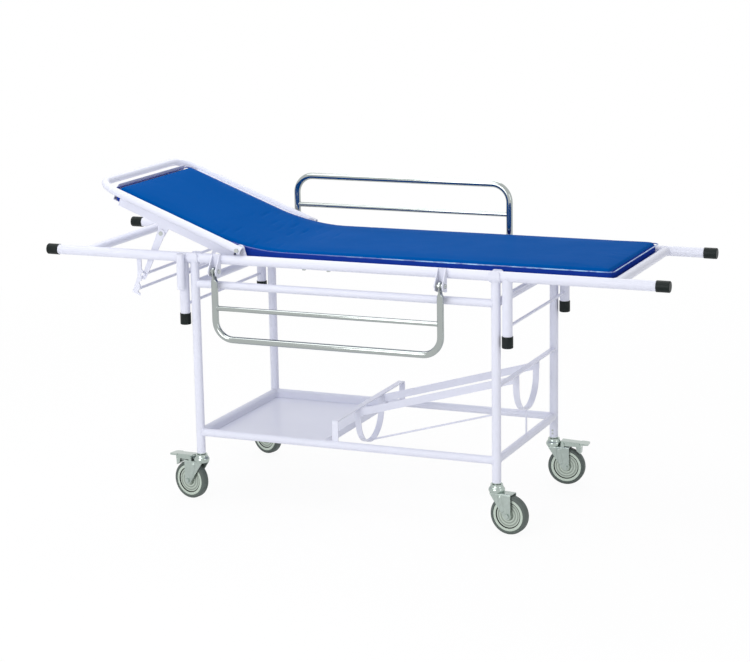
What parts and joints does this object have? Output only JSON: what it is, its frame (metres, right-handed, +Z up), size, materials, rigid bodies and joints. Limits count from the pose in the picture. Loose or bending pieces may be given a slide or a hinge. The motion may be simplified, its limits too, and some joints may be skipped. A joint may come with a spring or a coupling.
{
  "type": "ambulance cot",
  "caption": "Ambulance cot with tilting backrest, folding side rails and blue mattress, carried on a tubular trolley with swivel casters, tray and cylinder cradle.",
  "frame": {"origin": "on the floor, in the middle of the cot's bounding box", "axes": "+X towards the foot end, +Y towards the patient's left, +Z up"},
  "size_m": [2.12, 0.68, 1.0522],
  "materials": {
    "frame_paint": "white powder coat",
    "chrome": "bright chrome plate",
    "zinc": "zinc plate",
    "wheel_zinc": "zinc-plated pressed disc",
    "tread": "grey elastic rubber",
    "black_rubber": "matt rubber",
    "mattress_blue": "smooth coated cloth over foam",
    "steel_bolt": "plain zinc plate"
  },
  "bodies": {
    "trolley": {"post_head_right": "frame_paint", "post_head_left": "frame_paint", "post_foot_right": "frame_paint", "post_foot_left": "frame_paint", "upper_rail_right": "frame_paint", "upper_rail_left": "frame_paint", "lower_rail_right": "frame_paint", "lower_rail_left": "frame_paint", "upper_end_tubes": "frame_paint", "lower_end_tubes": "frame_paint", "saddles": "frame_paint", "tray": "frame_paint", "cradle_bars": "frame_paint", "cradle_hoops": "frame_paint", "cradle_side_bars": "frame_paint", "cradle_rods": "frame_paint", "caster_stems": "zinc"},
    "stretcher": {"longeron_right": "frame_paint", "longeron_left": "frame_paint", "end_cross_tubes": "frame_paint", "bed_cross_bars": "frame_paint", "bed_panel": "frame_paint", "legs_head": "frame_paint", "legs_foot": "frame_paint", "cross_rods": "frame_paint", "iv_socket": "frame_paint", "hinge_brackets": "frame_paint", "rail_clevises": "frame_paint", "ratchet_plates": "frame_paint", "leg_caps": "black_rubber", "handle_caps": "black_rubber", "hinge_bolts": "steel_bolt", "rail_bolts": "steel_bolt", "seat_mattress": "mattress_blue"},
    "backrest": {"backrest_frame": "frame_paint", "backrest_panel": "frame_paint", "prop_lugs": "frame_paint", "backrest_mattress": "mattress_blue"},
    "prop": {"prop_struts": "frame_paint", "prop_rod": "frame_paint", "prop_bolts": "steel_bolt"},
    "rail_right": {"rail_right_frame": "chrome", "rail_right_bar": "chrome"},
    "rail_left": {"rail_left_frame": "chrome", "rail_left_bar": "chrome"},
    "caster_head_right": {"caster_fork_head_right": "zinc"},
    "wheel_head_right": {"wheel_core_head_right": "wheel_zinc", "tyre_head_right": "tread"},
    "caster_head_left": {"caster_fork_head_left": "zinc"},
    "wheel_head_left": {"wheel_core_head_left": "wheel_zinc", "tyre_head_left": "tread"},
    "caster_foot_right": {"caster_fork_foot_right": "zinc"},
    "wheel_foot_right": {"wheel_core_foot_right": "wheel_zinc", "tyre_foot_right": "tread"},
    "caster_foot_left": {"caster_fork_foot_left": "zinc"},
    "wheel_foot_left": {"wheel_core_foot_left": "wheel_zinc", "tyre_foot_left": "tread"},
    "pedal_head_right": {"brake_pedal_head_right": "zinc"},
    "pedal_foot_left": {"brake_pedal_foot_left": "zinc"}
  },
  "joints": [
    {"name": "stretcher_lift", "type": "slide", "parent": "trolley", "child": "stretcher", "axis": [0, 0, 1], "range_m": [0, 0.3]},
    {"name": "backrest_tilt", "type": "hinge", "parent": "stretcher", "child": "backrest", "pos_m": [-0.355, 0, 0.846], "axis": [0, 1, 0], "range_deg": [-21, 9]},
    {"name": "prop_swing", "type": "hinge", "parent": "backrest", "child": "prop", "pos_m": [-0.64547, 0, 0.88038], "axis": [0, 1, 0], "range_deg": [-13, 30]},
    {"name": "rail_right_swing", "type": "hinge", "parent": "stretcher", "child": "rail_right", "pos_m": [-0.0395, -0.322, 0.778], "axis": [-1, 0, 0], "range_deg": [0, 180]},
    {"name": "rail_left_swing", "type": "hinge", "parent": "stretcher", "child": "rail_left", "pos_m": [-0.0395, 0.322, 0.778], "axis": [-1, 0, 0], "range_deg": [0, 180]},
    {"name": "swivel_head_right", "type": "hinge", "parent": "trolley", "child": "caster_head_right", "pos_m": [-0.515, -0.285, 0.14], "axis": [0, 0, 1], "continuous": true},
    {"name": "spin_head_right", "type": "hinge", "parent": "caster_head_right", "child": "wheel_head_right", "pos_m": [-0.55902, -0.27564, 0.0625], "axis": [-0.2079, -0.9781, 0], "continuous": true},
    {"name": "swivel_head_left", "type": "hinge", "parent": "trolley", "child": "caster_head_left", "pos_m": [-0.515, 0.285, 0.14], "axis": [0, 0, 1], "continuous": true},
    {"name": "spin_head_left", "type": "hinge", "parent": "caster_head_left", "child": "wheel_head_left", "pos_m": [-0.55729, 0.30039, 0.0625], "axis": [-0.342, -0.9397, 0], "continuous": true},
    {"name": "swivel_foot_right", "type": "hinge", "parent": "trolley", "child": "caster_foot_right", "pos_m": [0.515, -0.285, 0.14], "axis": [0, 0, 1], "continuous": true},
    {"name": "spin_foot_right", "type": "hinge", "parent": "caster_foot_right", "child": "wheel_foot_right", "pos_m": [0.55956, -0.29126, 0.0625], "axis": [0.1392, 0.9903, 0], "continuous": true},
    {"name": "swivel_foot_left", "type": "hinge", "parent": "trolley", "child": "caster_foot_left", "pos_m": [0.515, 0.285, 0.14], "axis": [0, 0, 1], "continuous": true},
    {"name": "spin_foot_left", "type": "hinge", "parent": "caster_foot_left", "child": "wheel_foot_left", "pos_m": [0.55989, 0.28814, 0.0625], "axis": [-0.0698, 0.9976, 0], "continuous": true},
    {"name": "brake_head_right", "type": "hinge", "parent": "caster_head_right", "child": "pedal_head_right", "pos_m": [-0.54826, -0.27793, 0.139], "axis": [-0.2079, -0.9781, 0], "range_deg": [0, 3.4]},
    {"name": "brake_foot_left", "type": "hinge", "parent": "caster_foot_left", "child": "pedal_foot_left", "pos_m": [0.54892, 0.28737, 0.139], "axis": [-0.0698, 0.9976, 0], "range_deg": [0, 3.4]}
  ],
  "couplings": [
    {"joint": "prop_swing", "follows": "backrest_tilt", "ratio": -1.4}
  ]
}
